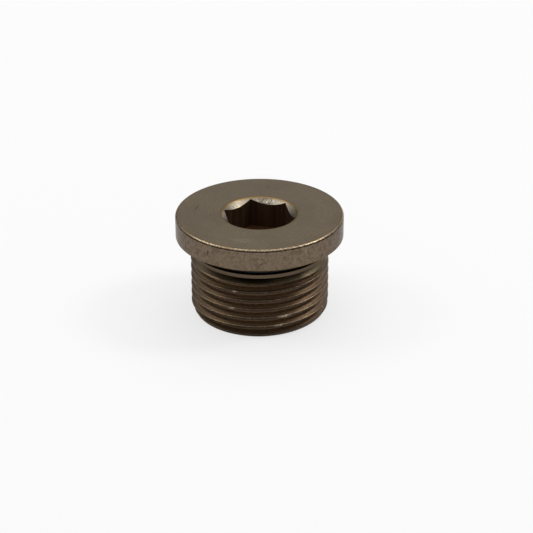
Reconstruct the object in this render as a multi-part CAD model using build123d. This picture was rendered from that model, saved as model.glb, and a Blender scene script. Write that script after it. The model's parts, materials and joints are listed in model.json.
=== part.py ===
from build123d import *
import os
from math import radians, tan

# Hex socket plug for a G 3/4 port: a brass body turned in one piece, and the moulded rubber ring
# that seals it. Millimetres. The plug stands on its threaded end: Z = 0 is that end face, +Z is
# the axis and points out of the socket. The socket has two flats square to Y, two corners on X.

# Flange, the collar that seats on the port
flange_diameter = 32.0
flange_thickness = 4.3
flange_top_round = 0.35        # outer edge of the socket's face
flange_seat_break = 0.12       # outer edge of the seating face

# Shank, from the seating face to the end
shank_length = 15.6
end_chamfer_depth = 0.8        # measured along the radius
end_chamfer_angle = 30.0       # between the chamfer and the axis, in degrees

# G 3/4 pipe thread, right-hand
thread_diameter = 26.441
turns_per_inch = 14
thread_angle = 55.0            # between the two flanks, in degrees
thread_start_angle = 180.0     # where the groove begins, from +X towards +Y, in degrees
thread_pitch = 25.4 / turns_per_inch
thread_depth = 0.6403 * thread_pitch   # from crest to root, as the thread's standard says
thread_radius = thread_diameter / 2
root_radius = thread_radius - thread_depth
flank_width = thread_depth * tan(radians(thread_angle / 2))
root_width = (thread_pitch - 2 * flank_width) / 2      # the crest is as wide as the root
mouth_width = root_width + 2 * flank_width

# Relief, the recess that the thread groove runs out into
relief_below_root = 0.15
relief_width = 0.7 * thread_pitch
thread_start_chamfer = 0.28 * thread_pitch
runout_distance = 0.42 * thread_pitch      # from the land to the middle of the groove's end

# Land, the narrow shoulder that keeps the sealing ring in its groove
land_diameter = 26.2
land_width = 0.8
land_edge_break = 0.08
land_distance = 2.22           # from the seating face to the land

# Sealing ring: a flat lip that lies in a recess of the flange, and a bead round the shank
ring_bore = 23.9
ring_outer_diameter = 29.2
ring_lip_standout = 0.35       # how far the lip stands out of the recess while it is relaxed
ring_lip_break = 0.2
bead_root_diameter = 26.7      # where the bead leaves the lip
bead_foot_diameter = 25.6      # where it ends, next to the land

# Recess and groove that the sealing ring lies in
recess_depth = 1.1
recess_clearance = 0.1         # around the ring's lip
ring_seat_clearance = 0.02     # between the ring's bore and the groove's floor
ring_end_play = 0.2            # between the bead and the land
recess_radius = ring_outer_diameter / 2 + recess_clearance
groove_radius = ring_bore / 2 - ring_seat_clearance

# Hexagon socket
key_size = 12.0                # across flats
key_clearance = 0.1            # what the socket is wider than the key
socket_depth = 8.0
socket_mouth_diameter = 14.5
countersink_angle = 100.0      # whole angle of the cone, in degrees
drill_diameter = 11.8          # the hole that the hexagon is pressed into
drill_over_depth = 1.0         # what the hole is deeper than the hexagon
drill_point_angle = 118.0
socket_width = key_size + key_clearance

# Heights of the faces above the end face
top = shank_length + flange_thickness
recess_floor = shank_length + recess_depth
land_top = shank_length - land_distance
land_bottom = land_top - land_width
thread_top = land_bottom - relief_width


def edge_at(part, radius, height):
    """The circular edge of a turned part at this radius and height."""
    circles = part.edges().filter_by(GeomType.CIRCLE)
    near = circles.sort_by(lambda e: abs(e.radius - radius) + abs(e.arc_center.Z - height))
    return near[0]


def turned_blank():
    """The plug as it leaves the lathe, with no socket and no thread yet."""
    land_radius = land_diameter / 2
    flange_radius = flange_diameter / 2
    relief_radius = root_radius - relief_below_root
    chamfer_length = end_chamfer_depth / tan(radians(end_chamfer_angle))
    outline = Polyline(
        (0, 0),
        (thread_radius - end_chamfer_depth, 0),
        (thread_radius, chamfer_length),
        (thread_radius, thread_top - thread_start_chamfer),
        (thread_radius - thread_start_chamfer, thread_top),
        (relief_radius, thread_top),
        (relief_radius, land_bottom),
        (land_radius, land_bottom),
        (land_radius, land_top),
        (groove_radius, land_top),
        (groove_radius, recess_floor),
        (recess_radius, recess_floor),
        (recess_radius, shank_length),
        (flange_radius, shank_length),
        (flange_radius, top),
        (0, top),
        close=True,
    )
    blank = revolve(Plane.XZ * make_face(outline), axis=Axis.Z)
    blank = fillet(edge_at(blank, flange_radius, top), flange_top_round)
    blank = chamfer(edge_at(blank, flange_radius, shank_length), flange_seat_break)
    blank = chamfer(edge_at(blank, land_radius, land_top), land_edge_break)
    return chamfer(edge_at(blank, land_radius, land_bottom), land_edge_break)


def hexagon_socket():
    """The space of the socket: drilled, pressed to a hexagon, and countersunk at its mouth."""
    down = (Align.CENTER, Align.CENTER, Align.MAX)
    hexagon = RegularPolygon(socket_width / 2, 6, major_radius=False)
    prism = Pos(0, 0, top) * extrude(hexagon, -socket_depth)
    drill_radius = drill_diameter / 2
    drill_depth = socket_depth + drill_over_depth
    drilling = Pos(0, 0, top) * Cylinder(drill_radius, drill_depth, align=down)
    point_length = drill_radius / tan(radians(drill_point_angle / 2))
    point = Pos(0, 0, top - drill_depth) * Cone(0, drill_radius, point_length, align=down)
    mouth_radius = socket_mouth_diameter / 2
    cone_length = mouth_radius / tan(radians(countersink_angle / 2))
    countersink = Pos(0, 0, top) * Cone(0, mouth_radius, cone_length, align=down)
    return prism + drilling + point + countersink


def thread_groove():
    """The helical groove, from the relief down past the end of the shank."""
    groove_start = land_bottom - runout_distance
    groove_end = -thread_pitch
    height = groove_start - groove_end
    path = Helix(thread_pitch, height, root_radius, center=(0, 0, groove_end))
    outside = thread_radius + thread_depth / 2
    section = Polygon(
        (root_radius, -root_width / 2),
        (thread_radius, -mouth_width / 2),
        (outside, -mouth_width / 2),
        (outside, mouth_width / 2),
        (thread_radius, mouth_width / 2),
        (root_radius, root_width / 2),
        align=None,
    )
    groove = sweep(Pos(0, 0, groove_end) * Plane.XZ * section, path=path, is_frenet=True)
    turned_by = 360 * height / thread_pitch
    return Rot(0, 0, thread_start_angle - turned_by) * groove


def plug_body():
    return turned_blank() - hexagon_socket() - thread_groove()


def sealing_ring():
    """The moulded ring, relaxed: its lip against the recess, its bead round the shank."""
    bore_radius = ring_bore / 2
    outer_radius = ring_outer_diameter / 2
    lip_bottom = shank_length - ring_lip_standout
    outline = Polyline(
        (bore_radius, recess_floor),
        (outer_radius, recess_floor),
        (outer_radius, lip_bottom),
        (bead_root_diameter / 2, lip_bottom),
        (bead_foot_diameter / 2, land_top + ring_end_play),
        (bore_radius, land_top + ring_end_play),
        close=True,
    )
    ring = revolve(Plane.XZ * make_face(outline), axis=Axis.Z)
    return chamfer(edge_at(ring, outer_radius, lip_bottom), ring_lip_break)


os.makedirs("parts", exist_ok=True)
export_step(plug_body(), "parts/plug_body.step")
export_step(sealing_ring(), "parts/sealing_ring.step")
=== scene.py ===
# %% [markdown]
# # A hexagon socket plug, turned from brass
# This lesson dresses a small engineering part: a G 3/4 screw plug, which closes a threaded port.
# It is one turned body and one rubber ring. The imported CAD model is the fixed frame: it gives
# the place and the size of everything, and nothing here moves or resizes it. What is modelled
# here are the two pieces that the eye sees, with rounded thread crests and worn edges.

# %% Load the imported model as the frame
import json
import math

import bmesh
import bpy
from mathutils import Euler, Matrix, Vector

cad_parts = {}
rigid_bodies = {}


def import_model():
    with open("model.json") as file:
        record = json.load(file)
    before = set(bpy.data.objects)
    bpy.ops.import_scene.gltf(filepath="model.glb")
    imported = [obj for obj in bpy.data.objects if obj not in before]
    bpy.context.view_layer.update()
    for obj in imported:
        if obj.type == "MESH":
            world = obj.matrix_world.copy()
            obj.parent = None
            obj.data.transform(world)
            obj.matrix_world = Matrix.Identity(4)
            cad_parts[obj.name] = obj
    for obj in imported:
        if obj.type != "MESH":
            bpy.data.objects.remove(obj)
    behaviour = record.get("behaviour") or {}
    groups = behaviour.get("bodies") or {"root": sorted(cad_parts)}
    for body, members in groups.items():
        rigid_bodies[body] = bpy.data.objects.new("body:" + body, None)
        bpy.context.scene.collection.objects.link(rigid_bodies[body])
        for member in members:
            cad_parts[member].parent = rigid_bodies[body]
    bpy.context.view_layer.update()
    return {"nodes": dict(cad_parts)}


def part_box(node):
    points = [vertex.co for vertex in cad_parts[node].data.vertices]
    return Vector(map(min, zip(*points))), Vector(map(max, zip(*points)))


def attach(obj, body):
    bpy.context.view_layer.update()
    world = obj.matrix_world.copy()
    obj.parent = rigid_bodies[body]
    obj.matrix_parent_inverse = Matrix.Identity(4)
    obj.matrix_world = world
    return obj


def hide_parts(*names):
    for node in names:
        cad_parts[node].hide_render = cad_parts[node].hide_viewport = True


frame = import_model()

print("CAD nodes:", sorted(frame["nodes"]))

# %% [markdown]
# ## Sizes
# A turned part is a list of radii and heights. The outer ones are read from the frame, so the
# new pieces can't drift away from the CAD. The rest are the part's own sizes, in millimetres,
# and everything else follows from them. Heights are measured from the end that it stands on.

# %% Sizes in millimetres
MM = 0.001
plug_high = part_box("plug_body")[1]
ring_low, ring_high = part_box("sealing_ring")

flange_radius = plug_high.x / MM
flange_thickness = 4.3
top = plug_high.z / MM
seat = top - flange_thickness           # the flange's underside
top_round = 0.45
seat_break = 0.1

ring_radius = ring_high.x / MM
recess_floor = ring_high.z / MM
recess_clearance = 0.1                  # around the ring's lip
recess_radius = ring_radius + recess_clearance
groove_radius = 11.93
groove_round = 0.15

land_radius = 13.1
land_distance = 2.22                    # from the flange's underside
land_width = 0.8
land_top = seat - land_distance
land_bottom = land_top - land_width
land_break = 0.08

turns_per_inch = 14
pitch = 25.4 / turns_per_inch
thread_diameter = 26.441
thread_radius = thread_diameter / 2
thread_depth = 0.6403 * pitch           # from crest to root, by the thread's standard
flank_angle = math.radians(55)          # between the two flanks
root_radius = thread_radius - thread_depth
relief_radius = root_radius - 0.15      # the core, a little inside the roots
thread_top = land_bottom - 0.05         # the thread ends just under the land
start_chamfer = 1.26                    # cone under the land, at 45 degrees
cone_foot = thread_top - start_chamfer
runout_depth = 0.12                     # what is left of the groove where it crosses the cone
end_chamfer = 0.8
end_chamfer_angle = math.radians(30)
end_chamfer_length = end_chamfer / math.tan(end_chamfer_angle)

key_width = 12.1                        # across the flats of the hexagon
socket_depth = 8.0
mouth_radius = 7.25
mouth_round = 0.08
cone_angle = math.radians(50)           # between the countersink and the axis
drill_radius = 5.9
drill_depth = socket_depth + 1.0
point_angle = math.radians(59)          # half of the drill's point
print(f"flange {flange_radius * 2:.1f} mm wide, {top:.1f} mm high, thread pitch {pitch:.4f} mm")

# %% [markdown]
# ## The outline of the blank
# On the lathe the plug begins as a bar, and the tool follows one outline. The same outline makes
# the mesh: a single vertex is extruded from corner to corner in the plane of X and Z, and the
# corners that the tool leaves round are bevelled as vertices, before anything is spun. A bevel
# of the finished solid would do it too, but on the outline each corner takes its own radius.

# %% Helpers for outlines
def put_down():
    """Leaves edit mode and selects nothing, so that the next operator finds only its own work."""
    if bpy.context.object and bpy.context.object.mode != "OBJECT":
        bpy.ops.object.mode_set(mode="OBJECT")
    bpy.ops.object.select_all(action="DESELECT")


def draw_outline(name, points):
    """A chain of edges through these (radius, height) points, left in edit mode."""
    put_down()
    bpy.ops.mesh.primitive_plane_add(size=MM)
    piece = bpy.context.object
    piece.name = name
    bpy.ops.object.mode_set(mode="EDIT")
    bpy.ops.mesh.select_all(action="SELECT")
    bpy.ops.mesh.merge(type="CENTER")
    bpy.ops.transform.translate(value=(points[0][0] * MM, 0, points[0][1] * MM))
    for (radius, height), (next_radius, next_height) in zip(points, points[1:]):
        step = ((next_radius - radius) * MM, 0, (next_height - height) * MM)
        bpy.ops.mesh.extrude_region_move(TRANSFORM_OT_translate={"value": step})
    return piece


def select_points(piece, wanted):
    """Selects the vertices for which wanted(x, y, z) in millimetres is true."""
    bpy.ops.mesh.select_all(action="DESELECT")
    mesh = bmesh.from_edit_mesh(piece.data)
    for vertex in mesh.verts:
        vertex.select = wanted(*(vertex.co / MM))
    mesh.select_flush_mode()
    bmesh.update_edit_mesh(piece.data)


def round_corners(piece, corners, distance, segments):
    """Rounds these (radius, height) corners, starting this far from each of them."""
    def is_corner(x, y, z):
        return any(math.hypot(x - radius, z - height) < 0.01 for radius, height in corners)

    select_points(piece, is_corner)
    bpy.ops.mesh.bevel(offset=distance * MM, segments=segments, profile=0.5, affect="VERTICES")


# %% [markdown]
# ## Upper body: flange, groove, land and core
# The flange carries the socket and seats on the port. Under it lie the recess and the groove of
# the sealing ring, then the land that keeps the ring in place. Under the land the core goes down
# inside the thread. It swells once, where the thread ends in a cone, and fills the groove almost up
# to the crests: this is how a cut thread runs out when the tool is drawn back. The outline runs
# from the axis inside the thread up to the countersink, which is turned in the same chucking, so
# the mouth's edge can be rounded here and needs no boolean.

# %% Outline of the upper body
core_bottom = 4.0                       # where the core ends, hidden inside the thread
cone_bottom_radius = 4.5                # the countersink ends inside what the hexagon removes
cone_bottom = top - (mouth_radius - cone_bottom_radius) / math.tan(cone_angle)
runout_radius = thread_radius - runout_depth
runout_length = 0.9                     # over which the groove's floor rises, under the cone
small_round = 3                         # steps in a round that is hardly seen
wide_round = 8                          # steps in the flange's upper edge
upper_body = draw_outline("turned_body", [
    (0, core_bottom),
    (relief_radius, core_bottom),
    (relief_radius, cone_foot - runout_length),
    (runout_radius, cone_foot),
    (relief_radius, cone_foot + runout_radius - relief_radius),
    (relief_radius, land_bottom),
    (land_radius, land_bottom),
    (land_radius, land_top),
    (groove_radius, land_top),
    (groove_radius, recess_floor),
    (recess_radius, recess_floor),
    (recess_radius, seat),
    (flange_radius, seat),
    (flange_radius, top),
    (mouth_radius, top),
    (cone_bottom_radius, cone_bottom),
    (0, cone_bottom),
])
seat_corners = [(flange_radius, seat), (recess_radius, seat)]
land_corners = [(land_radius, land_top), (land_radius, land_bottom)]
groove_corners = [(groove_radius, land_top), (groove_radius, recess_floor)]
round_corners(upper_body, [(flange_radius, top)], top_round, wide_round)
round_corners(upper_body, seat_corners, seat_break, small_round)
round_corners(upper_body, land_corners, land_break, small_round)
round_corners(upper_body, groove_corners, groove_round, small_round)
round_corners(upper_body, [(mouth_radius, top)], mouth_round, small_round)
print("outline of the upper body:", len(upper_body.data.vertices), "vertices before its rounds")

# %% [markdown]
# ## Spinning
# A spin through a full turn does what the lathe does. Its seam and its poles are then merged, and
# the normals are made to point outwards. The number of steps decides how round the silhouette is.

# %% Spin the upper body
turn_steps = 384
MERGE = 0.001 * MM                      # points closer than this become one


def spin_round(piece, steps):
    """Spins the outline in edit mode round the axis into a closed solid."""
    bpy.ops.mesh.select_all(action="SELECT")
    bpy.ops.mesh.spin(steps=steps, angle=math.tau, center=(0, 0, 0), axis=(0, 0, 1))
    bpy.ops.mesh.select_all(action="SELECT")
    bpy.ops.mesh.remove_doubles(threshold=MERGE)
    bpy.ops.mesh.normals_make_consistent(inside=False)
    put_down()
    print(f"{piece.name}: {len(piece.data.polygons)} faces after the spin")


spin_round(upper_body, turn_steps)

# %% [markdown]
# ## Thread
# A pipe thread has 55 degrees between its flanks. On this plug the crests are left flat and
# narrow, as a cut thread's are, and the roots are a little round from the tool's tip. One pitch of
# it is drawn and its corners are bevelled, then a Screw modifier winds it ten times round the
# axis, much faster than the screw operator. A stack of rings would look the same from the front,
# but it would have no lead and no start, so it could never screw in.

# %% Wind the thread
thread_steps = 360
thread_turns = 10
flank_width = thread_depth * math.tan(flank_angle / 2)
crest_width = (pitch - 2 * flank_width) / 2
crest_edge = 0.05
root_edge = 0.11
crest_at_zero = 10.004                  # height of a crest in the direction of +X
crests_below = 7                        # the first turn lies this many crests lower
first_crest = crest_at_zero - crests_below * pitch
crest_low = first_crest - crest_width / 2
crest_high = first_crest + crest_width / 2
thread = draw_outline("thread", [
    (root_radius, first_crest - pitch / 2),
    (root_radius, crest_low - flank_width),
    (thread_radius, crest_low),
    (thread_radius, crest_high),
    (root_radius, crest_high + flank_width),
    (root_radius, first_crest + pitch / 2),
])
crest_corners = [(thread_radius, crest_low), (thread_radius, crest_high)]
root_corners = [(root_radius, crest_low - flank_width), (root_radius, crest_high + flank_width)]
round_corners(thread, crest_corners, crest_edge, small_round)
round_corners(thread, root_corners, root_edge, small_round)
put_down()
wind = thread.modifiers.new("wind", "SCREW")
wind.axis = "Z"
wind.angle = math.tau
wind.screw_offset = pitch * MM
wind.iterations = thread_turns
wind.steps = thread_steps
wind.render_steps = thread_steps
wind.use_merge_vertices = True
wind.merge_threshold = MERGE
wind.use_normal_calculate = True
bpy.context.view_layer.objects.active = thread
bpy.ops.object.modifier_apply(modifier=wind.name)
print("thread:", len(thread.data.polygons), "faces wound")

# %% [markdown]
# ## Sawing the thread off
# What the modifier wound is a skin with no ends. A boolean needs a closed solid, so the skin is
# bisected level below the plug's end and inside the land, and each cut is filled. Both cuts lie
# outside what the next step keeps, so their exact height doesn't matter.

# %% Close the wound thread into a solid
saw_low = -1.0
saw_high = 13.0


def saw_off(piece, height, keep_above):
    """Cuts the piece level at this height, closes the cut and keeps one side."""
    bpy.ops.mesh.select_all(action="SELECT")
    bpy.ops.mesh.bisect(
        plane_co=(0, 0, height * MM),
        plane_no=(0, 0, 1),
        use_fill=True,
        clear_inner=keep_above,
        clear_outer=not keep_above,
        threshold=MERGE / 100,
    )


bpy.ops.object.mode_set(mode="EDIT")
bpy.ops.mesh.select_all(action="SELECT")
bpy.ops.mesh.remove_doubles(threshold=2 * MERGE)
saw_off(thread, saw_low, keep_above=True)
saw_off(thread, saw_high, keep_above=False)
bpy.ops.mesh.select_all(action="SELECT")
bpy.ops.mesh.normals_make_consistent(inside=False)
put_down()
print("thread:", len(thread.data.polygons), "faces as a solid")

# %% [markdown]
# ## Cones of the thread
# The turner cuts a cone at both ends of the thread: a long 30 degree lead at the bottom, which
# helps the plug to enter its port, and a 45 degree cone at the top, which goes up to the land. An
# envelope with these two cones is spun, and a boolean keeps what is inside it. The envelope stays
# clear of the crests, so no two faces lie on each other, which booleans don't like. A second
# boolean joins the thread to the upper body, whose core then fills the groove at the upper cone.

# %% Trim the thread and join it to the upper body
clearance = 1.0                         # how far the envelope stays outside the crests
clear_radius = thread_radius + clearance
lead_length = end_chamfer_length * (end_chamfer + clearance) / end_chamfer
envelope = draw_outline("envelope", [
    (0, 0),
    (thread_radius - end_chamfer, 0),
    (clear_radius, lead_length),
    (clear_radius, thread_top - start_chamfer - clearance),
    (thread_radius - start_chamfer, thread_top),
    (0, thread_top),
])
spin_round(envelope, turn_steps)


def combine(piece, tool, operation):
    """Applies a boolean of the tool to the piece and removes the tool."""
    put_down()
    shape = piece.modifiers.new(tool.name, "BOOLEAN")
    shape.operation = operation
    shape.object = tool
    shape.solver = "EXACT"
    bpy.context.view_layer.objects.active = piece
    bpy.ops.object.modifier_apply(modifier=shape.name)
    bpy.data.objects.remove(tool, do_unlink=True)
    print(f"{piece.name}: {len(piece.data.polygons)} faces after {operation.lower()}")


combine(thread, envelope, "INTERSECT")
combine(upper_body, thread, "UNION")

# %% [markdown]
# ## Hexagon socket
# The hole is drilled first, and a broach presses the hexagon into it, so a drilled hole with its
# pointed end is left under the hexagon. Two tools cut it here: a six-sided cylinder, turned until
# two flats are square to Y, and a spun drill. The edge where the flats meet the countersink is
# a row of arches, which comes out of the boolean by itself.

# %% Broach the hexagon and drill the hole
tool_reach = 3.0                        # how much longer than its hole a tool is
half_flat = math.radians(30)            # from a hexagon's corner to the middle of its flat
drill_steps = 96
put_down()
broach_length = socket_depth + tool_reach
bpy.ops.mesh.primitive_cylinder_add(
    vertices=6,
    radius=key_width / 2 / math.cos(half_flat) * MM,
    depth=broach_length * MM,
    location=(0, 0, (top - socket_depth + broach_length / 2) * MM),
    rotation=(0, 0, half_flat),
)
broach = bpy.context.object
broach.name = "broach"
bpy.ops.object.transform_apply(location=True, rotation=True, scale=True)
combine(upper_body, broach, "DIFFERENCE")

drill_bottom = top - drill_depth
drill = draw_outline("drill", [
    (0, drill_bottom - drill_radius / math.tan(point_angle)),
    (drill_radius, drill_bottom),
    (drill_radius, drill_bottom + tool_reach),
    (0, drill_bottom + tool_reach),
])
spin_round(drill, drill_steps)
combine(upper_body, drill, "DIFFERENCE")

# %% [markdown]
# ## Smooth shading
# The spun faces are narrow and flat, and light would show every one of them. Smooth by Angle
# shades across the edges that turn by less than the angle, and leaves the real edges sharp. The
# Weighted Normal modifier then lets the large faces decide: without it, the flat top would look
# dished next to the small round of its edge.

# %% Smooth shading
smooth_angle = math.radians(32)


def shade(piece, angle):
    """Smooth across edges under this angle, with flat faces kept flat."""
    put_down()
    piece.select_set(True)
    bpy.context.view_layer.objects.active = piece
    bpy.ops.object.shade_smooth_by_angle(angle=angle)
    weigh = piece.modifiers.new("weigh", "WEIGHTED_NORMAL")
    weigh.keep_sharp = True
    weigh.weight = 50
    bpy.ops.object.modifier_apply(modifier=weigh.name)
    print(f"{piece.name}: smooth under {math.degrees(angle):.0f} degrees")


shade(upper_body, smooth_angle)
plug = upper_body

# %% [markdown]
# ## Sealing ring
# A moulded rubber ring with a flat lip, which lies in the recess of the flange, and a bead that
# hugs the groove. It is a second piece, so that it can be taken off and takes a finish of its own.

# %% Mould the sealing ring
bore_radius = 11.95
lip_bottom = seat - 0.35                # relaxed, the lip stands this far out of its recess
bead_root_radius = 13.35                # where the bead leaves the lip
bead_foot_radius = 12.8
bead_bottom = ring_low.z / MM
ring_steps = 256
ring = draw_outline("rubber_ring", [
    (bore_radius, recess_floor),
    (ring_radius, recess_floor),
    (ring_radius, lip_bottom),
    (bead_root_radius, lip_bottom),
    (bead_foot_radius, bead_bottom),
    (bore_radius, bead_bottom),
    (bore_radius, recess_floor),
])
bpy.ops.mesh.select_all(action="SELECT")
bpy.ops.mesh.remove_doubles(threshold=MERGE)
ring_edges = [(ring_radius, lip_bottom), (bead_foot_radius, bead_bottom)]
round_corners(ring, ring_edges, distance=0.2, segments=5)
round_corners(ring, [(bead_root_radius, lip_bottom)], distance=0.25, segments=4)
spin_round(ring, ring_steps)
shade(ring, smooth_angle)

# %% [markdown]
# ## Camera
# It looks down at the plug from the front, a little round its axis from two of the flats. Its
# place is given the way one would say it in a studio: how far round, how high up, how far away,
# and what it is aimed at. The aim is a little beside the plug, which leaves the plug a little off
# the middle of the frame.

# %% Place the camera
FRAME_PIXELS = 533
focal_pixels = 1800
view_azimuth = math.radians(15.8)
view_elevation = math.radians(27.12)
view_roll = math.radians(-0.2)
view_distance = 343.3
aim_right = 1.30                        # millimetres, seen from the camera
aim_up = -6.36

turn = Euler((math.pi / 2 - view_elevation, 0, view_azimuth)).to_matrix()
right, up, back = turn.col[0], turn.col[1], turn.col[2]
aim = Vector((0, 0, seat)) + aim_right * right + aim_up * up
bpy.ops.object.camera_add(location=(aim + view_distance * back) * MM)
camera = bpy.context.object
camera.name = "studio_camera"
camera.rotation_euler = (turn @ Euler((0, 0, view_roll)).to_matrix()).to_euler()
camera.data.sensor_width = 36
camera.data.lens = focal_pixels * camera.data.sensor_width / FRAME_PIXELS
camera.data.clip_start = 0.01
camera.data.clip_end = 20
bpy.context.scene.camera = camera
print("camera at", [round(v, 4) for v in camera.location], "lens", round(camera.data.lens, 1))

# %% [markdown]
# ## Floor and light
# A small shiny part shows its surroundings more than its own colour, so the studio is most of the
# look. The floor, the room and the finishes are all sheets of shader nodes. Wiring nodes in code
# is wordy, so a few helpers come first: one makes a node and links it, one does sums, and two make
# soft masks. Almost every pattern in this lesson is a soft mask between two values.

# %% Helpers for node sheets
def add_node(tree, kind, inputs=None, **settings):
    """A node with its settings made, and its inputs set to values or linked to outputs."""
    made = tree.nodes.new(kind)
    for key, value in settings.items():
        setattr(made, key, value)
    for key, value in (inputs or {}).items():
        if isinstance(value, bpy.types.NodeSocket):
            tree.links.new(value, made.inputs[key])
        else:
            made.inputs[key].default_value = value
    return made


def maths(tree, operation, *values):
    """The output of a Math node."""
    inputs = dict(enumerate(values))
    return add_node(tree, "ShaderNodeMath", inputs, operation=operation).outputs[0]


def fade(tree, value, low, high, to_low=0.0, to_high=1.0):
    """A smooth step of the value between low and high."""
    inputs = {
        "Value": value,
        "From Min": low,
        "From Max": high,
        "To Min": to_low,
        "To Max": to_high,
    }
    made = add_node(tree, "ShaderNodeMapRange", inputs, interpolation_type="SMOOTHSTEP")
    return made.outputs["Result"]


def plateau(tree, value, foot, edge, far_edge, far_foot):
    """A mask that is 1 between the two edges and fades to 0 at each foot."""
    return maths(tree, "MULTIPLY", fade(tree, value, foot, edge),
                 fade(tree, value, far_foot, far_edge))


# %% [markdown]
# ### Paper floor
# A sheet of pale matt paper. Matt paper under plain light comes out a little grey, so where the
# lens looks at it, a share of it is plain white. That share is mixed in for camera rays, and a
# small one for reflections and glass, so the paper throws no more light on the plug. The rest
# stays matt and keeps the plug's soft shadow.

# %% Lay the paper floor
WHITE_TO_LENS = 0.68
WHITE_IN_METAL = 0.1
PAPER = 0.9

put_down()
bpy.ops.mesh.primitive_plane_add(size=6)
floor = bpy.context.object
floor.name = "floor"
paper = bpy.data.materials.new("floor_paper")
paper.use_nodes = True
tree = paper.node_tree
tree.nodes.clear()
path = add_node(tree, "ShaderNodeLightPath")
in_lens = maths(tree, "MULTIPLY", path.outputs["Is Camera Ray"], WHITE_TO_LENS)
in_metal = maths(tree, "MULTIPLY", path.outputs["Is Glossy Ray"], WHITE_IN_METAL)
in_glass = maths(tree, "MULTIPLY", path.outputs["Is Transmission Ray"], WHITE_IN_METAL)
share = maths(tree, "ADD", maths(tree, "ADD", in_lens, in_metal), in_glass)
matt = add_node(tree, "ShaderNodeBsdfDiffuse", {"Color": (PAPER, PAPER, PAPER, 1)})
white = add_node(tree, "ShaderNodeEmission", {"Color": (1, 1, 1, 1), "Strength": 1.0})
mixed = add_node(tree, "ShaderNodeMixShader", {0: share, 1: matt.outputs[0], 2: white.outputs[0]})
add_node(tree, "ShaderNodeOutputMaterial", {"Surface": mixed.outputs[0]})
floor.data.materials.append(paper)
print("floor:", len(tree.nodes), "nodes")

# %% [markdown]
# ### Room
# The lens sees a white room, and matt surfaces get a weak, even light from it. Metal would look
# flat in an all-white room, so what the metal mirrors has two darker zones, fixed to the room. One
# is low in front: it draws the dark line under the bright upper edge of the flange. The other is a
# band near the horizon, darker at the left than at the right and open right behind the plug: it
# gives the thread and the countersink their contrast. Both are masks on the direction in which
# a ray leaves.

# %% Paint the room
AMBIENT = 0.3                           # on matt surfaces
FRONT_LEVEL = 0.12                      # what the metal sees low in front
LEFT_LEVEL = 0.1                        # and near the horizon, from left to right
RIGHT_LEVEL = 0.45

level_view = Euler((math.pi / 2, 0, view_azimuth)).to_matrix()
side_axis, front = level_view.col[0], level_view.col[2]
world = bpy.data.worlds.new("studio")
bpy.context.scene.world = world
world.use_nodes = True
tree = world.node_tree
tree.nodes.clear()
direction = add_node(tree, "ShaderNodeTexCoord").outputs["Generated"]
height = add_node(tree, "ShaderNodeSeparateXYZ", {0: direction}).outputs["Z"]


def along_axis(axis):
    """How far the direction points along this axis of the room, from -1 to 1."""
    inputs = {0: direction, 1: axis}
    made = add_node(tree, "ShaderNodeVectorMath", inputs, operation="DOT_PRODUCT")
    return made.outputs["Value"]


facing = along_axis(front)
beside = along_axis(side_axis)
low_in_front = maths(tree, "MULTIPLY", fade(tree, facing, 0.05, 0.45),
                     fade(tree, height, 0.60, 0.42))
near_horizon = maths(tree, "MULTIPLY", fade(tree, facing, -0.97, -0.9),
                     fade(tree, height, 0.45, 0.3))
dim_level = fade(tree, beside, -0.4, 0.4, LEFT_LEVEL, RIGHT_LEVEL)
reflected = maths(tree, "MINIMUM", fade(tree, low_in_front, 0.0, 1.0, 1.0, FRONT_LEVEL),
                  fade(tree, near_horizon, 0.0, 1.0, 1.0, dim_level))
path = add_node(tree, "ShaderNodeLightPath")
shown = maths(tree, "MAXIMUM", path.outputs["Is Camera Ray"], path.outputs["Is Transmission Ray"])
in_metal = maths(tree, "MULTIPLY", path.outputs["Is Glossy Ray"], reflected)
strength = maths(tree, "MAXIMUM", maths(tree, "MAXIMUM", shown, in_metal), AMBIENT)
room = add_node(tree, "ShaderNodeBackground", {"Color": (1, 1, 1, 1), "Strength": strength})
add_node(tree, "ShaderNodeOutputWorld", {"Surface": room.outputs[0]})
print("room:", len(tree.nodes), "nodes")

# %% [markdown]
# ### Soft boxes
# Four lamps, each a rectangle as a soft box is. The large one stands over and behind the plug, and
# its flat top mirrors it. The two at the sides are small and bright, and each draws a glow down one
# side of the thread. The low one stands behind the plug and a little to the right, and the left
# side of the countersink mirrors it. A lamp's energy is given by the light that its surface shows,
# because that is what the metal mirrors. Together they light a matt surface at about its own
# colour.

# %% Soft boxes
def soft_box(name, azimuth, elevation, distance, width, depth, radiance):
    """A flat lamp that faces the plug, from an azimuth (0 is the camera's) and an elevation."""
    aimed = Euler((math.pi / 2 - math.radians(elevation), 0, view_azimuth + math.radians(azimuth)))
    put_down()
    bpy.ops.object.light_add(type="AREA", location=aimed.to_matrix().col[2] * distance)
    lamp = bpy.context.object
    lamp.name = name
    lamp.rotation_euler = aimed
    lamp.data.shape = "RECTANGLE"
    lamp.data.size = width
    lamp.data.size_y = depth
    lamp.data.energy = radiance * math.pi * width * depth
    print(f"{name}: {lamp.data.energy:.1f} W")


soft_box("overhead_box", azimuth=180, elevation=76, distance=1.3,
         width=1.9, depth=1.5, radiance=1.22)
soft_box("left_box", azimuth=-98, elevation=45, distance=1.5,
         width=0.5, depth=0.4, radiance=5.2)
soft_box("right_box", azimuth=99, elevation=47, distance=1.5,
         width=0.36, depth=0.42, radiance=12.2)
soft_box("low_box", azimuth=152, elevation=7, distance=1.5,
         width=0.6, depth=0.3, radiance=1.9)

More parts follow.
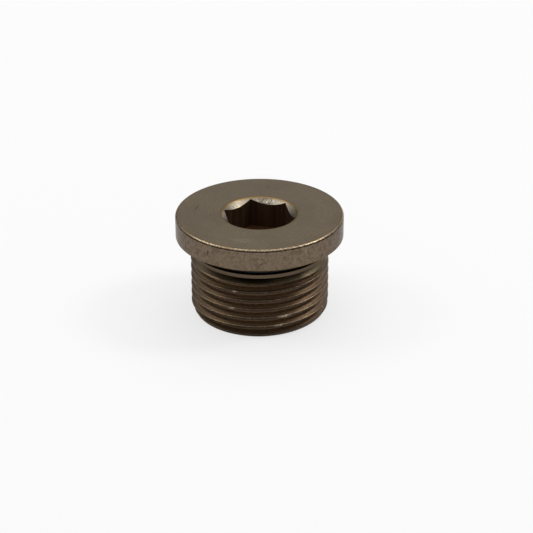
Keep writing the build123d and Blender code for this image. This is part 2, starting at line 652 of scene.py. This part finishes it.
# %% [markdown]
# ## Finishes
# The plug is thinly plated brass: dull grey-brown metal, with the yellow metal showing wherever
# an edge has been rubbed. Every finish is a metal of its own, but they share a few effects, and
# each effect is a node group with named inputs: where a point lies round the axis, the fine marks
# of the turning tool, a speckle, the wear along a round edge, and single marks. They all read
# Object coordinates, which are the part's own frame, so a pattern stays where it was made. An
# image would do too, but it would have to be unwrapped on the thread, and it would blur up close.

# %% Start a node group
def start_group(name, inputs, outputs):
    """An empty node group with these sockets, and its input and output nodes."""
    kinds = {"value": "NodeSocketFloat", "vector": "NodeSocketVector"}
    group = bpy.data.node_groups.new(name, "ShaderNodeTree")
    for label, kind in inputs.items():
        group.interface.new_socket(label, in_out="INPUT", socket_type=kinds[kind])
    for label, kind in outputs.items():
        group.interface.new_socket(label, in_out="OUTPUT", socket_type=kinds[kind])
    return group, add_node(group, "NodeGroupInput").outputs


def end_group(group, results):
    """Links the results to the group's outputs, by name."""
    add_node(group, "NodeGroupOutput", results)
    print("node group:", group.name, "with", len(group.nodes), "nodes")


def use_group(tree, group, **inputs):
    """A group placed in a node sheet, with underscores in the names of its inputs for spaces."""
    named = {label.replace("_", " "): value for label, value in inputs.items()}
    return add_node(tree, "ShaderNodeGroup", named, node_tree=group).outputs


# %% [markdown]
# ### Round the axis
# Tools and wear follow radius and height, so this group turns a point of the part into its radius
# and height in millimetres, and the direction in which it lies, as a vector without a seam.

# %% Node group: round the axis
round_axis, given = start_group(
    "round_axis",
    {"Position": "vector"},
    {"Radius": "value", "Height": "value", "Direction": "vector", "Place": "vector"},
)
place = add_node(round_axis, "ShaderNodeVectorMath", {0: given["Position"]}, operation="SCALE")
place.inputs["Scale"].default_value = 1 / MM
parts = add_node(round_axis, "ShaderNodeSeparateXYZ", {0: place.outputs["Vector"]}).outputs
level = add_node(round_axis, "ShaderNodeCombineXYZ", {"X": parts["X"], "Y": parts["Y"]}).outputs[0]
length = add_node(round_axis, "ShaderNodeVectorMath", {0: level}, operation="LENGTH")
outward = add_node(round_axis, "ShaderNodeVectorMath", {0: level}, operation="NORMALIZE")
end_group(round_axis, {
    "Radius": length.outputs["Value"],
    "Height": parts["Z"],
    "Direction": outward.outputs["Vector"],
    "Place": place.outputs["Vector"],
})

# %% [markdown]
# ### Turning marks
# A turning tool leaves grooves that run round the axis. Noise in four dimensions makes them: fine
# steps in radius and height, and slow change round the axis, which closes up without a seam. A
# wave texture would give grooves that are all alike.

# %% Node group: turning marks
turning_marks, given = start_group(
    "turning_marks",
    {"Position": "vector", "Spacing": "value", "Change": "value"},
    {"Height": "value"},
)
where = use_group(turning_marks, round_axis, Position=given["Position"])
ring_of = add_node(turning_marks, "ShaderNodeSeparateXYZ", {0: where["Direction"]}).outputs
coordinates = add_node(turning_marks, "ShaderNodeCombineXYZ", {
    "X": maths(turning_marks, "DIVIDE", where["Radius"], given["Spacing"]),
    "Y": maths(turning_marks, "DIVIDE", where["Height"], given["Spacing"]),
    "Z": maths(turning_marks, "MULTIPLY", ring_of["X"], given["Change"]),
}).outputs[0]
marks = add_node(turning_marks, "ShaderNodeTexNoise", {
    "Vector": coordinates,
    "W": maths(turning_marks, "MULTIPLY", ring_of["Y"], given["Change"]),
    "Scale": 1.0,
    "Detail": 3.0,
    "Roughness": 0.6,
}, noise_dimensions="4D")
end_group(turning_marks, {"Height": marks.outputs["Fac"]})

# %% [markdown]
# ### Speckle
# Plating over brass is never even. The speckle group gives soft noise of a chosen grain in
# millimetres, pulled apart around its middle, for tints, tarnish and dull spots.

# %% Node group: speckle
speckle, given = start_group(
    "speckle",
    {"Position": "vector", "Grain": "value", "From": "value", "To": "value"},
    {"Mask": "value"},
)
where = use_group(speckle, round_axis, Position=given["Position"])
grains = add_node(speckle, "ShaderNodeTexNoise", {
    "Vector": where["Place"],
    "Scale": maths(speckle, "DIVIDE", 1.0, given["Grain"]),
    "Detail": 4.0,
    "Roughness": 0.65,
}, noise_dimensions="3D")
end_group(speckle, {"Mask": fade(speckle, grains.outputs["Fac"], given["From"], given["To"])})

# %% [markdown]
# ### Edge wear
# Handling rubs the plating off the edges, all of which are circles here. The group measures the
# distance in section from a circle of given radius and height, and fades out over the reach. Noise
# breaks the band up, so that the bare line is beaded and nicked as a real one is.

# %% Node group: edge wear
edge_wear, given = start_group(
    "edge_wear",
    {
        "Position": "vector",
        "Edge Radius": "value",
        "Edge Height": "value",
        "Reach": "value",
        "Bead": "value",
        "Gaps": "value",
    },
    {"Mask": "value"},
)
where = use_group(edge_wear, round_axis, Position=given["Position"])
across = maths(edge_wear, "SUBTRACT", where["Radius"], given["Edge Radius"])
along = maths(edge_wear, "SUBTRACT", where["Height"], given["Edge Height"])
square = maths(edge_wear, "ADD", maths(edge_wear, "MULTIPLY", across, across),
               maths(edge_wear, "MULTIPLY", along, along))
distance = maths(edge_wear, "DIVIDE", maths(edge_wear, "SQRT", square), given["Reach"])
beads = add_node(edge_wear, "ShaderNodeTexNoise", {
    "Vector": where["Place"],
    "Scale": maths(edge_wear, "DIVIDE", 1.0, given["Bead"]),
    "Detail": 2.0,
}).outputs["Fac"]
ragged = maths(edge_wear, "MULTIPLY_ADD", maths(edge_wear, "SUBTRACT", beads, 0.5),
               given["Gaps"], distance)
end_group(edge_wear, {"Mask": fade(edge_wear, ragged, 1.0, 0.7)})

# %% [markdown]
# ### Single marks
# A part that has rolled about in a box has a few marks of its own: a dark scuff, a pit, a bright
# scratch. The group gives one soft ellipsoid at a place on the surface, of three half sizes, and
# noise makes its edge ragged. The same group bounds larger patches of oil and of rubbed metal.

# %% Node group: one mark
one_mark, given = start_group(
    "one_mark",
    {"Position": "vector", "Centre": "vector", "Half Size": "vector"},
    {"Mask": "value"},
)
where = use_group(one_mark, round_axis, Position=given["Position"])
offset = add_node(one_mark, "ShaderNodeVectorMath", {0: where["Place"], 1: given["Centre"]},
                  operation="SUBTRACT")
scaled = add_node(one_mark, "ShaderNodeVectorMath",
                  {0: offset.outputs["Vector"], 1: given["Half Size"]}, operation="DIVIDE")
reach = add_node(one_mark, "ShaderNodeVectorMath", {0: scaled.outputs["Vector"]},
                 operation="LENGTH").outputs["Value"]
rough_edge = add_node(one_mark, "ShaderNodeTexNoise", {"Vector": where["Place"], "Scale": 6.0})
reach = maths(one_mark, "MULTIPLY_ADD", rough_edge.outputs["Fac"], 1.2, reach)
end_group(one_mark, {"Mask": fade(one_mark, reach, 1.6, 0.9)})


# %% [markdown]
# ### Helpers for the metals
# The four metals start alike: a Principled shader, fully metallic, on Object coordinates. A
# polished metal turns pale towards its outline, and a dull plating does so less, so the specular
# tint is held down. Colours are laid over each other through masks, as thin coats of paint are,
# and the bumps are chained, each on the normal of the one before.

# %% Helpers for materials
GRAZING = 0.69                          # how pale a metal turns towards its outline


def start_metal(name, roughness):
    """A metal: its node sheet, its shader and the Object coordinates."""
    metal = bpy.data.materials.new(name)
    metal.use_nodes = True
    tree = metal.node_tree
    shader = tree.nodes["Principled BSDF"]
    shader.inputs["Metallic"].default_value = 1
    shader.inputs["Roughness"].default_value = roughness
    shader.inputs["Specular Tint"].default_value = (GRAZING, GRAZING, GRAZING, 1)
    position = add_node(tree, "ShaderNodeTexCoord").outputs["Object"]
    return metal, tree, shader, position


def blend_colours(tree, mask, under, over):
    """The colour over laid on the colour under where the mask is 1."""
    made = add_node(tree, "ShaderNodeMix", data_type="RGBA")
    for key, value in {0: mask, 6: under, 7: over}.items():
        if isinstance(value, bpy.types.NodeSocket):
            tree.links.new(value, made.inputs[key])
        elif key == 0:
            made.inputs[key].default_value = value
        else:
            made.inputs[key].default_value = (*value, 1)
    return made.outputs[2]


def raise_bumps(tree, shader, *layers):
    """Bump nodes in a row, each from (height, depth in mm, strength), into the shader's normal."""
    normal = None
    for height, depth, strength in layers:
        inputs = {"Height": height, "Distance": depth * MM, "Strength": strength}
        if normal:
            inputs["Normal"] = normal
        normal = add_node(tree, "ShaderNodeBump", inputs).outputs["Normal"]
    tree.links.new(normal, shader.inputs["Normal"])


# %% [markdown]
# ### Helpers for masks
# Short names for what every finish asks for: flecks of a chosen grain, the tool's rings, one mark
# at a place, and a mask made weaker. A place on a turned part is easiest to say as an azimuth, a
# radius and a height, so that is how the marks are placed.

# %% Helpers for masks
def flecks(tree, position, grain, low, high):
    """The speckle's mask, with this grain in millimetres."""
    return use_group(tree, speckle, Position=position, Grain=grain, From=low, To=high)["Mask"]


def tool_rings(tree, position, spacing, change):
    """The height of the turning marks, with this spacing in millimetres."""
    return use_group(tree, turning_marks, Position=position, Spacing=spacing,
                     Change=change)["Height"]


def mark_at(tree, position, centre, half_size):
    """The mask of one mark."""
    return use_group(tree, one_mark, Position=position, Centre=centre,
                     Half_Size=half_size)["Mask"]


def times(tree, mask, other):
    """Where both masks are, or a mask made weaker by a number."""
    return maths(tree, "MULTIPLY", mask, other)


def on_part(azimuth, radius, height):
    """A place on the plug from its azimuth in degrees, radius and height in millimetres."""
    angle = math.radians(azimuth)
    return (radius * math.cos(angle), radius * math.sin(angle), height)


# %% [markdown]
# ### Turned and plated
# The faces that the lathe cut: the top, the rim, the land and the end. The plating is grey-brown
# and thin, and pinker and greener where the brass shines through it. First come the colours of all
# that can be seen on it: plating, tarnish, bare brass, stains and marks, and a near black that is
# painted shade and painted dark reflection.

# %% Colours of the plating
PLATING = (0.161, 0.124, 0.086)
PLATING_FACE = (0.143, 0.114, 0.073)
PLATING_FACE_BROWN = (0.118, 0.092, 0.062)
# Painted shade: the plating below the flange's seat, the land with it, is darker and browner.
PLATING_SHADED_BELOW_SEAT = (0.107, 0.077, 0.051)
PLATING_PINK = (0.218, 0.153, 0.114)
PLATING_GREEN = (0.112, 0.088, 0.056)
TARNISH = (0.045, 0.032, 0.020)
# This near-black colour is painted shade and painted dark reflection, and also darkens the thread
# towards its lower end.
NEAR_BLACK = (0.012, 0.008, 0.005)
BARE_BRASS = (0.18, 0.13, 0.075)
# Painted highlight: pale spots on the bare brass of the upper edge.
PAINTED_GLINT = (0.34, 0.28, 0.21)
MOUTH_BRASS = (0.14, 0.088, 0.036)
STAIN = (0.115, 0.083, 0.042)
DARK_MARK = (0.040, 0.030, 0.020)
PALE_MARK = (0.22, 0.20, 0.17)
GOLD_MARK = (0.16, 0.10, 0.035)

plated, tree, shader, position = start_metal("turned_plating", 0.3)
where = use_group(tree, round_axis, Position=position)
pink = flecks(tree, position, 0.5, 0.45, 0.6)
green = flecks(tree, position, 0.8, 0.48, 0.62)
colour = blend_colours(tree, times(tree, pink, 0.8), PLATING, PLATING_PINK)
colour = blend_colours(tree, times(tree, green, 0.8), colour, PLATING_GREEN)
print("turned_plating:", len(tree.nodes), "nodes for the plating")

# %% [markdown]
# ### The flange's face and the land
# The face is smoother than the rim: it has the rings of the tool, wide brown clouds, and one
# ragged patch of fine pale scratches where something rubbed it. A scratch made by turning follows
# the rings, so the patch is the product of a mark and of turning marks. Everything below the
# flange's seat, the land with it, is painted darker and browner: painted shade under the flange.
# Small dull spots lie over everything.

# %% Finish of the face, and painted shade under the flange
on_face = fade(tree, where["Height"], top - 0.1, top - 0.02)
# Painted shade mask: everything below the flange's seat.
shade_below_seat = fade(tree, where["Height"], seat - 0.1, seat - 0.2)
rings = fade(tree, tool_rings(tree, position, 0.25, 1.6), 0.42, 0.58)
clouds = flecks(tree, position, 7.0, 0.4, 0.62)
scratches = fade(tree, tool_rings(tree, position, 0.16, 2.5), 0.5, 0.62, 0.0, 0.8)
rubbed_patch = mark_at(tree, position, on_part(-90, 12.2, top), (3.0, 2.0, 1.0))

face = blend_colours(tree, times(tree, pink, 0.25), PLATING_FACE, PLATING_PINK)
face = blend_colours(tree, times(tree, rings, 0.3), face, PLATING_GREEN)
face = blend_colours(tree, times(tree, clouds, 0.6), face, PLATING_FACE_BROWN)
face = blend_colours(tree, times(tree, rubbed_patch, scratches), face, PALE_MARK)
colour = blend_colours(tree, on_face, colour, face)
colour = blend_colours(tree, shade_below_seat, colour, PLATING_SHADED_BELOW_SEAT)

dull = flecks(tree, position, 0.22, 0.58, 0.66)
dotted = times(tree, dull, fade(tree, on_face, 0.0, 1.0, 0.65, 0.3))
colour = blend_colours(tree, dotted, colour, TARNISH)
print("turned_plating:", len(tree.nodes), "nodes with the face")

# %% [markdown]
# ### Worn edges, and a painted dark line under one of them
# Every edge of the flange has lost its plating. At the upper one the bare brass shows, with pale
# painted highlight spots on it, and next to it the plating is stained. The rest are duller. Just
# under the upper edge a thin broken near-black line is laid on last, over brass and plating alike:
# a painted dark reflection of the room in front.

# %% Wear on the edges, with painted highlight spots and a painted dark line
BEAD = 0.35                             # millimetres, the grain of a worn edge
GAPS = 2.2                              # how deep its gaps are
# Painted highlight: pale spots laid on the bare brass of the upper edge.
painted_glint_spots = flecks(tree, position, 0.3, 0.5, 0.56)
brass_with_painted_glints = blend_colours(tree, painted_glint_spots, BARE_BRASS, PAINTED_GLINT)
worn_edges = {                          # radius, height, reach, colour
    "stain inside the upper edge": (flange_radius - 0.3, top, 0.26, STAIN),
    "stain round the mouth": (mouth_radius + 0.05, top, 0.3, STAIN),
    "upper edge": (flange_radius - 0.12, top - 0.12, 0.22, brass_with_painted_glints),
    "mouth": (mouth_radius, top, 0.17, MOUTH_BRASS),
    "edge of the seat": (flange_radius, seat, 0.18, MOUTH_BRASS),
}
for edge_radius, edge_height, reach, brass in worn_edges.values():
    worn = use_group(tree, edge_wear, Position=position, Edge_Radius=edge_radius,
                     Edge_Height=edge_height, Reach=reach, Bead=BEAD, Gaps=GAPS)["Mask"]
    colour = blend_colours(tree, worn, colour, brass)

# Painted dark reflection: a thin broken near-black line just under the upper edge, where the round
# mirrors the dark room in front.
painted_reflection_under_edge = plateau(tree, where["Height"], top - 0.50, top - 0.42, top - 0.33, top - 0.25)
breaks_in_painted_line = fade(tree, flecks(tree, position, 1.5, 0.36, 0.46), 0.0, 1.0, 0.5, 1.0)
colour = blend_colours(tree, times(tree, painted_reflection_under_edge, breaks_in_painted_line), colour, NEAR_BLACK)
print("worn edges:", ", ".join(worn_edges))

# %% [markdown]
# ### Marks of its own
# A dozen marks make this plug one plug and not any plug. Each has a name, a place and three half
# sizes, because a scuff is wide and flat and a hairline is tall and thin. Then the finish gets its
# relief: fine turning marks, with a fine grit over them.

# %% Single marks and relief
single_marks = {                        # place, half sizes in millimetres, colour
    "scratch on the rim": (on_part(-110.6, 16, 17.9), (0.22, 0.3, 0.62), DARK_MARK),
    "hairline on the rim": (on_part(-133.7, 16, 17.0), (0.1, 0.1, 1.1), DARK_MARK),
    "rub on the rim": (on_part(-41.9, 16, 18.6), (0.13, 0.13, 1.0), PALE_MARK),
    "pit in the rim": (on_part(-86.3, 16, 17.61), (0.22, 0.3, 0.22), GOLD_MARK),
    "spot on the rim": (on_part(-72.5, 16, 17.16), (0.2, 0.3, 0.2), DARK_MARK),
    "dot on the rim": (on_part(-27.4, 16, 16.46), (0.2, 0.2, 0.2), DARK_MARK),
    "scratch on the face": (on_part(184.2, 12.2, top), (0.14, 1.6, 0.3), DARK_MARK),
    "dot on the face": (on_part(201.3, 9.4, top), (0.2, 0.2, 0.3), DARK_MARK),
    "second dot on the face": (on_part(213.2, 8.9, top), (0.2, 0.2, 0.3), DARK_MARK),
    "far dot on the face": (on_part(98.8, 11.8, top), (0.25, 0.25, 0.3), DARK_MARK),
    "notch in the edge": (on_part(-42.8, 15.9, top - 0.1), (0.16, 0.16, 0.2), DARK_MARK),
    "bright nick in the edge": (on_part(-72.4, 15.7, top - 0.1), (0.3, 0.2, 0.2), PALE_MARK),
}
for centre, half_size, mark_colour in single_marks.values():
    mark = mark_at(tree, position, centre, half_size)
    colour = blend_colours(tree, mark, colour, mark_colour)
tree.links.new(colour, shader.inputs["Base Color"])
tree.links.new(fade(tree, dull, 0.0, 1.0, 0.27, 0.4), shader.inputs["Roughness"])
marks = tool_rings(tree, position, 0.07, 4.0)
grit = flecks(tree, position, 0.16, 0.3, 0.7)
raise_bumps(tree, shader, (marks, 0.007, 0.5), (grit, 0.003, 0.2))
plug.data.materials.append(plated)
print("single marks:", ", ".join(single_marks))

# %% [markdown]
# ### Threaded
# The thread is cut after the blank is turned, and cutting oil has dried to a brown film in it. So
# it is only partly metal to the eye: the film scatters light, also deep in the groove. The flats of
# its crests are painted darker, and so are the corners beside them: painted shade, for the dark
# reflections that they show. The cone under the land has no film: it is clean, greenish metal.

# %% Colours of the thread
FLANK = (0.152, 0.094, 0.048)
FLANK_DARK = (0.102, 0.062, 0.033)
# Painted shade: the crest flats and the corners beside them are darker than the flanks.
CREST_PAINTED_SHADE = (0.034, 0.024, 0.018)
CORNER_PAINTED_SHADE = (0.024, 0.015, 0.009)
RELIEF = (0.120, 0.095, 0.060)
RUBBED_AND_HIGHLIT = (0.30, 0.195, 0.085)
NICKED = (0.25, 0.19, 0.12)
KNOCKED = (0.50, 0.43, 0.33)
FILM_ROUGHNESS = 0.36

threaded, tree, shader, position = start_metal("thread_plating", FILM_ROUGHNESS)
where = use_group(tree, round_axis, Position=position)
on_cone = fade(tree, where["Height"], cone_foot, cone_foot + 0.1)
crest_flat = fade(tree, where["Radius"], thread_radius - 0.06, thread_radius - 0.02)
# Painted shade mask: the band of the flanks next to each crest.
corner = plateau(tree, where["Radius"], thread_radius - 0.46, thread_radius - 0.34,
                 thread_radius - 0.11, thread_radius - 0.06)
below_cone = fade(tree, where["Height"], cone_foot + 0.1, cone_foot)
corner = times(tree, corner, fade(tree, below_cone, 0.0, 1.0, 0.0, 0.6))

colour = blend_colours(tree, flecks(tree, position, 0.5, 0.4, 0.7), FLANK, FLANK_DARK)
colour = blend_colours(tree, corner, colour, CORNER_PAINTED_SHADE)
colour = blend_colours(tree, crest_flat, colour, CREST_PAINTED_SHADE)
colour = blend_colours(tree, on_cone, colour, RELIEF)
print("thread_plating:", len(tree.nodes), "nodes for its colours")

# %% [markdown]
# ### Painted shade on the thread
# The sharp corner under the land, in the shade of the land and the flange, is painted near black:
# painted shade. So is the cone under it in three large soft marks shaped as runs, the largest at
# the front. The thread also turns darker towards its lower end.

# %% Painted shade on the thread
# Painted shade: the corner under the land is near black.
painted_shade_under_land = fade(tree, where["Height"], land_bottom - 0.50, land_bottom - 0.40)
colour = blend_colours(tree, painted_shade_under_land, colour, NEAR_BLACK)
# Darker towards the lower end of the thread.
near_end = fade(tree, where["Height"], 1.8, 0.6)
colour = blend_colours(tree, times(tree, near_end, 0.3), colour, NEAR_BLACK)
painted_shade_runs = {                            # place, half sizes in millimetres
    "painted shade under the land": (on_part(-78, 12.6, land_bottom - 0.5), (5.5, 2.6, 1.2)),
    "painted shade behind": (on_part(80, 12.6, land_bottom - 0.5), (4.0, 2.5, 0.9)),
    "painted shade at the side": (on_part(15, 12.6, land_bottom - 0.4), (2.0, 3.2, 0.7)),
}
# Painted shade on the cone under the land, laid in three soft runs.
for centre, half_size in painted_shade_runs.values():
    run = mark_at(tree, position, centre, half_size)
    run = times(tree, run, fade(tree, on_cone, 0.0, 1.0, 0.0, 0.75))
    colour = blend_colours(tree, run, colour, NEAR_BLACK)
print("painted shade runs:", ", ".join(painted_shade_runs))

# %% [markdown]
# ### Rubbed crests and knocks
# The crests touch everything first. Where the plug has rolled and stood, the crests are rubbed to
# brass, in beads. The brass is kept to the upper edge of each crest, the side that faces the
# overhead light, by a mask on which way the surface faces, so it is also a painted highlight. A few
# crests are knocked: there the metal is pushed up in bright grains.

# %% Wear on the crests
faces_up = add_node(tree, "ShaderNodeSeparateXYZ", {
    "Vector": add_node(tree, "ShaderNodeTexCoord").outputs["Normal"],
}).outputs["Z"]
# The rubbed brass is kept to the upper edges, which face the overhead light: partly wear, partly a
# painted highlight.
lit_upper_crest_edge = times(tree, plateau(tree, where["Radius"], thread_radius - 0.09, thread_radius - 0.05,
                                 thread_radius - 0.03, thread_radius - 0.008),
                   fade(tree, faces_up, 0.1, 0.4))
beads = fade(tree, flecks(tree, position, 0.35, 0.42, 0.52), 0.0, 1.0, 0.25, 1.0)
worn = times(tree, lit_upper_crest_edge, beads)
near_crest = fade(tree, where["Radius"], thread_radius - 0.2, thread_radius - 0.1)
nicked = times(tree, near_crest, flecks(tree, position, 0.35, 0.62, 0.66))
bright_grains = times(tree, near_crest, flecks(tree, position, 0.22, 0.46, 0.52))
knocks = {                              # place, half sizes in millimetres
    "knock on the fourth ridge": (on_part(-53.5, thread_radius, 4.42), (1.7, 1.7, 0.45)),
    "knock on the fifth ridge": (on_part(-58.7, thread_radius, 2.62), (1.2, 1.2, 0.4)),
    "knock on the first ridge": (on_part(-94.9, thread_radius, 9.66), (0.6, 0.6, 0.35)),
    "knock on the third ridge": (on_part(-98.0, thread_radius, 6.03), (0.9, 0.9, 0.35)),
    "knock at the back": (on_part(130.0, thread_radius, 7.15), (1.0, 1.0, 0.4)),
}
knocked = 0.0
for centre, half_size in knocks.values():
    knock = times(tree, mark_at(tree, position, centre, half_size), bright_grains)
    knocked = maths(tree, "MAXIMUM", knocked, knock)
colour = blend_colours(tree, worn, colour, RUBBED_AND_HIGHLIT)
colour = blend_colours(tree, nicked, colour, NICKED)
colour = blend_colours(tree, knocked, colour, KNOCKED)
tree.links.new(colour, shader.inputs["Base Color"])
print("knocks:", ", ".join(knocks))

# %% [markdown]
# ### Sheen of the thread
# The film is what makes the thread less metallic and a little rougher. Where it is missing, on the
# cone, on the rubbed edges and in the knocks, the surface is all metal again. The turning marks
# are finer here than on the flange, and the nicks and knocks stand up.

# %% Sheen and relief of the thread
FILM_METALLIC = 0.55
CONE_ROUGHNESS = 0.34
film_is_off = maths(tree, "MAXIMUM", maths(tree, "MAXIMUM", worn, on_cone), knocked)
tree.links.new(fade(tree, film_is_off, 0.0, 1.0, FILM_METALLIC, 1.0), shader.inputs["Metallic"])
roughness = fade(tree, on_cone, 0.0, 1.0, FILM_ROUGHNESS, CONE_ROUGHNESS)
tree.links.new(roughness, shader.inputs["Roughness"])
shader.inputs["Specular IOR Level"].default_value = 0.4
marks = tool_rings(tree, position, 0.05, 6.0)
dents = maths(tree, "MAXIMUM", nicked, knocked)
raise_bumps(tree, shader, (marks, 0.004, 0.5), (dents, 0.03, 0.7))
print("thread_plating:", len(tree.nodes), "nodes")

# %% [markdown]
# ### Countersunk
# The countersink is cut last and gets the thinnest plating, so it is the brightest face. In one
# patch at the back the tool was dull and tore the metal, which left shaved, torn and speckled
# spots side by side. Elsewhere they are faint.

# %% Material: countersunk
CUT = (0.190, 0.163, 0.123)
TORN = (0.085, 0.076, 0.063)
SHAVED = (0.36, 0.32, 0.26)
SPECK = (0.035, 0.034, 0.032)
CUT_BRASS = (0.15, 0.10, 0.045)

countersunk, tree, shader, position = start_metal("countersink_cut", 0.3)
patch = mark_at(tree, position, on_part(93, 6.6, top - 0.5), (2.6, 2.0, 1.5))
shaved = times(tree, flecks(tree, position, 0.45, 0.5, 0.55), patch)
torn = times(tree, flecks(tree, position, 0.7, 0.47, 0.58),
             fade(tree, patch, 0.0, 1.0, 0.3, 1.0))
specks = times(tree, flecks(tree, position, 0.3, 0.53, 0.6),
               fade(tree, patch, 0.0, 1.0, 0.15, 1.0))
mouth = use_group(tree, edge_wear, Position=position, Edge_Radius=mouth_radius,
                  Edge_Height=top, Reach=0.36, Bead=BEAD, Gaps=1.0)["Mask"]
colour = blend_colours(tree, shaved, CUT, SHAVED)
colour = blend_colours(tree, torn, colour, TORN)
colour = blend_colours(tree, specks, colour, SPECK)
colour = blend_colours(tree, mouth, colour, CUT_BRASS)
tree.links.new(colour, shader.inputs["Base Color"])
tears = flecks(tree, position, 0.3, 0.3, 0.7)
raise_bumps(tree, shader, (tears, 0.02, 0.6))
print("countersink_cut:", len(tree.nodes), "nodes")

# %% [markdown]
# ### Broached and drilled
# The broach scrapes the walls of the hexagon from top to bottom. Noise that is stretched along Z
# gives its streaks, on brown metal that no plating reached. The bottom is drilled, so there the
# streaks give way to the rings of the drill. Oil dries here too, so the metal scatters some
# light. The last millimetres of the broach's stroke are cleaner.

# %% Material: broached
WALL = (0.110, 0.062, 0.034)
WALL_DARK = (0.066, 0.037, 0.020)
WALL_CLEAN = (0.30, 0.175, 0.095)
STREAKS = (1200, 1200, 60)              # per metre: fine across the walls, long down them

broached, tree, shader, position = start_metal("broached_wall", 0.3)
where = use_group(tree, round_axis, Position=position)
stretch = add_node(tree, "ShaderNodeMapping", {"Vector": position, "Scale": STREAKS})
streaks = add_node(tree, "ShaderNodeTexNoise", {"Vector": stretch.outputs["Vector"], "Scale": 1.0})
streaks = fade(tree, streaks.outputs["Fac"], 0.35, 0.65)
drill_rings = fade(tree, tool_rings(tree, position, 0.22, 1.2), 0.38, 0.62)
floor_height = top - socket_depth
drilled = fade(tree, where["Height"], floor_height - 0.02, floor_height - 0.1)
scraped = fade(tree, drilled, 0.0, 1.0, streaks, drill_rings)
clean = plateau(tree, where["Height"], floor_height - 0.6, floor_height - 0.2,
                floor_height + 1.9, floor_height + 2.3)
colour = blend_colours(tree, scraped, WALL, WALL_DARK)
colour = blend_colours(tree, clean, colour, WALL_CLEAN)
tree.links.new(colour, shader.inputs["Base Color"])
shader.inputs["Metallic"].default_value = FILM_METALLIC
shader.inputs["Specular IOR Level"].default_value = 0.1
raise_bumps(tree, shader, (scraped, 0.01, 0.5))
print("broached_wall:", len(tree.nodes), "nodes")

# %% [markdown]
# ### Rubber
# Black moulded rubber, dull, with a little dust and the faint grain of its mould. It is no metal,
# so it starts from a plain shader.

# %% Material: rubber
RUBBER = (0.006, 0.006, 0.009)
DUST = (0.02, 0.02, 0.022)

rubber = bpy.data.materials.new("moulded_rubber")
rubber.use_nodes = True
tree = rubber.node_tree
shader = tree.nodes["Principled BSDF"]
shader.inputs["Specular IOR Level"].default_value = 0.2
position = add_node(tree, "ShaderNodeTexCoord").outputs["Object"]
dust = flecks(tree, position, 0.3, 0.5, 0.75)
tree.links.new(blend_colours(tree, dust, RUBBER, DUST), shader.inputs["Base Color"])
tree.links.new(fade(tree, dust, 0.0, 1.0, 0.55, 0.8), shader.inputs["Roughness"])
grain = flecks(tree, position, 0.12, 0.3, 0.7)
raise_bumps(tree, shader, (grain, 0.01, 0.4))
ring.data.materials.append(rubber)
print("moulded_rubber:", len(tree.nodes), "nodes")

# %% [markdown]
# ## Which face has which finish
# The plug is one mesh, so its finishes are given to faces, picked by where they lie and which way
# they face: the same rules by which a person would mask it.

# %% Give the faces their finishes
def give_finish(piece, material, belongs):
    """Gives the material to the faces for which belongs(radius, height, slope) is true."""
    put_down()
    piece.data.materials.append(material)
    bpy.context.view_layer.objects.active = piece
    piece.active_material_index = len(piece.data.materials) - 1
    bpy.ops.object.mode_set(mode="EDIT")
    bpy.ops.mesh.select_all(action="DESELECT")
    mesh = bmesh.from_edit_mesh(piece.data)
    picked = 0
    for face in mesh.faces:
        middle = face.calc_center_median() / MM
        face.select = belongs(math.hypot(middle.x, middle.y), middle.z, face.normal.z)
        picked += face.select
    bmesh.update_edit_mesh(piece.data)
    bpy.ops.object.material_slot_assign()
    put_down()
    print(f"{material.name}: {picked} faces")


def is_thread(radius, height, slope):
    """From the lead up to the land, without the plug's end and the land's underside."""
    return radius > root_radius - 0.1 and 0.01 < height < thread_top + 0.01 and slope < 0.99


def is_countersink(radius, height, slope):
    """The cone of the mouth, whose faces lean towards the axis."""
    return radius < mouth_radius + 0.02 and 0.6 < slope < 0.9 and height > top - 2


def is_socket(radius, height, slope):
    """The walls under the countersink, and everything near the bottom of the hole."""
    inside = radius < 7.1 and top - drill_depth - 5 < height < top - 0.1
    return inside and (slope < 0.6 or height < top - 5)


give_finish(plug, threaded, is_thread)
give_finish(plug, countersunk, is_countersink)
give_finish(plug, broached, is_socket)

# %% [markdown]
# ## Handing over
# Both pieces ride on the part's one body, and each stands for the CAD node of the same thing,
# which is hidden. View Transform Standard shows every colour as it is.

# %% Hand the pieces over
bpy.context.scene.view_settings.view_transform = "Standard"
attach(plug, "root")
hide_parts("plug_body")
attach(ring, "root")
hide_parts("sealing_ring")
